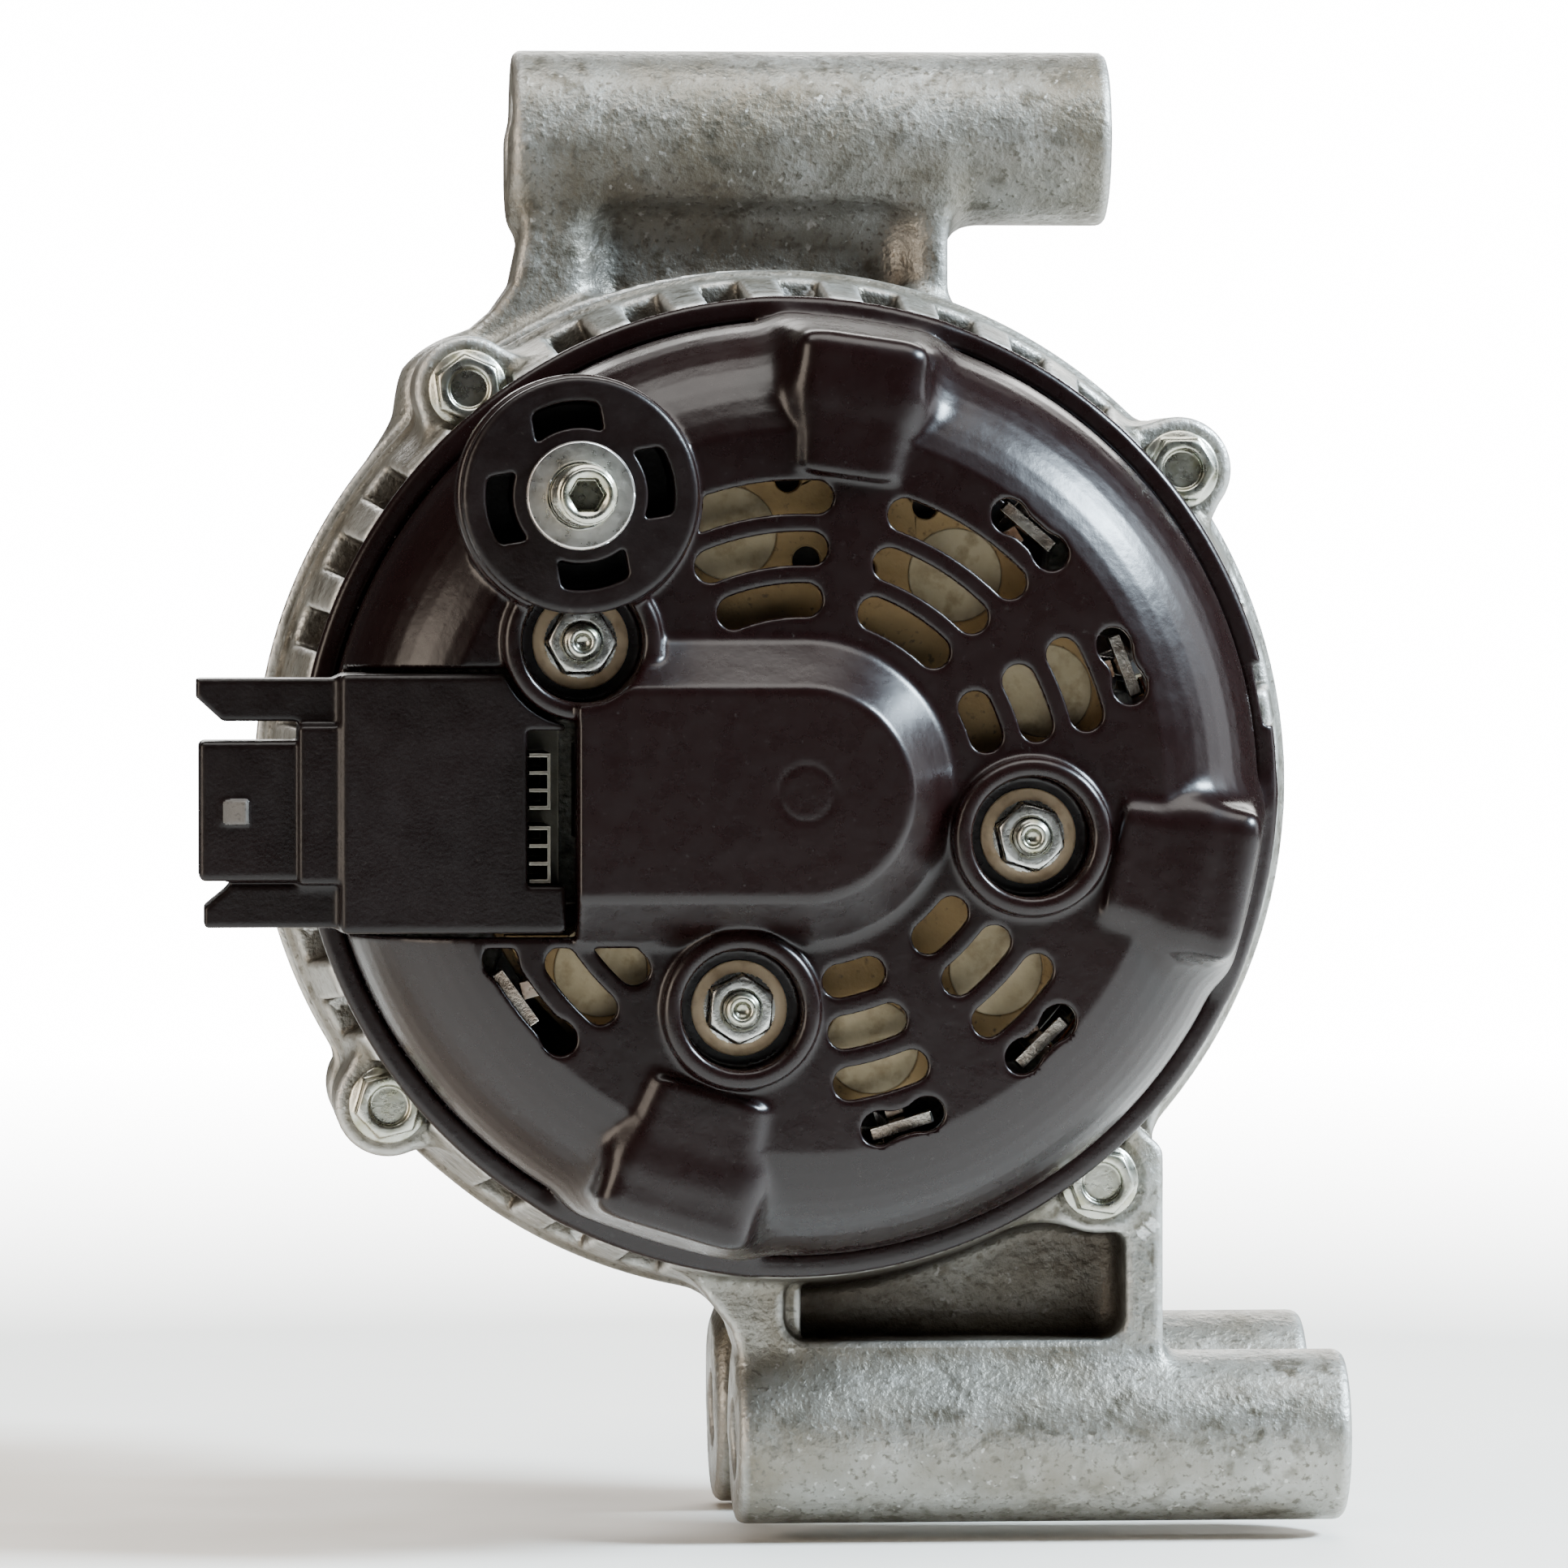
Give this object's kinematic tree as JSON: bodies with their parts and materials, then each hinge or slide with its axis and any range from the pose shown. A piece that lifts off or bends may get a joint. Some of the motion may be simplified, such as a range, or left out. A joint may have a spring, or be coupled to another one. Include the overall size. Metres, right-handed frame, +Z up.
{
  "type": "car alternator",
  "caption": "Claw-pole car alternator with two aluminium housings, a vented black rear cover, battery stud, side connector, mounting tubes and a ribbed belt pulley.",
  "frame": {"origin": "on the shaft axis, in the middle of the pulley's belt grooves", "axes": "+Y along the shaft from the rear cover out through the pulley, +Z up towards the upper mounting tube, +X to the right in the rear view, along the mounting tubes"},
  "size_m": [0.1568, 0.1734, 0.2043],
  "materials": {
    "cast_aluminium": "as-cast, mottled and lightly weathered",
    "zinc_steel": "zinc plated",
    "dark_steel": "pressed or turned steel, lightly oiled",
    "lamination_steel": "stacked laminations, varnished edge",
    "copper_enamel": "enamelled copper",
    "bare_copper": "bare and tinned copper",
    "insulating_paper": "slot paper",
    "bearing_steel": "ground and polished",
    "seal_rubber": "moulded rubber on a steel shield",
    "resin": "brown phenolic moulding",
    "tan_plate": "tan coated cooling plate",
    "diode_metal": "nickel-plated cup with knurled edge",
    "cover_plastic": "semi-gloss brown-black moulding",
    "block_plastic": "matte charcoal moulding",
    "carbon": "copper-graphite brush",
    "spring_steel": "bright spring wire",
    "pulley_steel": "black coated steel with worn grooves"
  },
  "bodies": {
    "frame": {"front_housing": "cast_aluminium", "rear_housing": "cast_aluminium", "through_bolts": "zinc_steel", "stator_core": "lamination_steel", "stator_winding": "copper_enamel", "slot_liners": "insulating_paper", "stator_leads": "bare_copper", "front_bearing_outer_race": "bearing_steel", "front_bearing_seals": "seal_rubber", "bearing_retainer": "zinc_steel", "retainer_screws": "zinc_steel", "rear_bearing_outer_race": "bearing_steel", "positive_heat_sink": "tan_plate", "negative_heat_sink": "tan_plate", "positive_diodes": "diode_metal", "negative_diodes": "diode_metal", "terminal_plate": "resin", "rectifier_bushes": "resin", "bus_bars": "bare_copper", "battery_stud": "zinc_steel", "battery_stud_sleeve": "zinc_steel", "battery_stud_washer": "zinc_steel", "battery_stud_insulator": "block_plastic", "regulator": "block_plastic", "connector_pins": "bare_copper", "regulator_heat_sink": "tan_plate", "regulator_screws": "zinc_steel", "brush_holder": "resin", "brush_holder_screws": "zinc_steel", "brush_spring_positive": "spring_steel", "brush_spring_negative": "spring_steel", "rear_cover": "cover_plastic", "cover_studs": "zinc_steel", "cover_nuts": "zinc_steel"},
    "rotor": {"rotor_shaft": "dark_steel", "rear_claw_pole": "dark_steel", "front_claw_pole": "dark_steel", "coil_bobbin": "resin", "field_coil": "copper_enamel", "front_fan": "dark_steel", "rear_fan": "dark_steel", "slip_ring_insulator": "resin", "slip_rings": "bare_copper", "pulley_spacer": "dark_steel", "pulley": "pulley_steel", "pulley_nut": "zinc_steel", "front_bearing_inner_race": "bearing_steel", "rear_bearing_inner_race": "bearing_steel"},
    "front_ball_set": {"front_bearing_cage": "dark_steel", "front_bearing_balls": "bearing_steel"},
    "rear_ball_set": {"rear_bearing_cage": "dark_steel", "rear_bearing_balls": "bearing_steel"},
    "positive_brush": {"brush_positive": "carbon"},
    "negative_brush": {"brush_negative": "carbon"}
  },
  "joints": [
    {"name": "rotor_spin", "type": "hinge", "parent": "frame", "child": "rotor", "pos_m": [0, 0, 0], "axis": [0, 1, 0], "continuous": true},
    {"name": "front_cage_spin", "type": "hinge", "parent": "frame", "child": "front_ball_set", "pos_m": [0, -0.0285, 0], "axis": [0, 1, 0], "continuous": true},
    {"name": "rear_cage_spin", "type": "hinge", "parent": "frame", "child": "rear_ball_set", "pos_m": [0, -0.099, 0], "axis": [0, 1, 0], "continuous": true},
    {"name": "positive_brush_slide", "type": "slide", "parent": "frame", "child": "positive_brush", "axis": [-1, 0, 0], "range_m": [0, 0.005], "stiffness_N_per_m": 300, "springref_m": -0.01, "deforming": ["brush_spring_positive"]},
    {"name": "negative_brush_slide", "type": "slide", "parent": "frame", "child": "negative_brush", "axis": [-1, 0, 0], "range_m": [0, 0.005], "stiffness_N_per_m": 300, "springref_m": -0.01, "deforming": ["brush_spring_negative"]}
  ],
  "couplings": [
    {"joint": "front_cage_spin", "follows": "rotor_spin", "ratio": 0.3656},
    {"joint": "rear_cage_spin", "follows": "rotor_spin", "ratio": 0.3979}
  ]
}
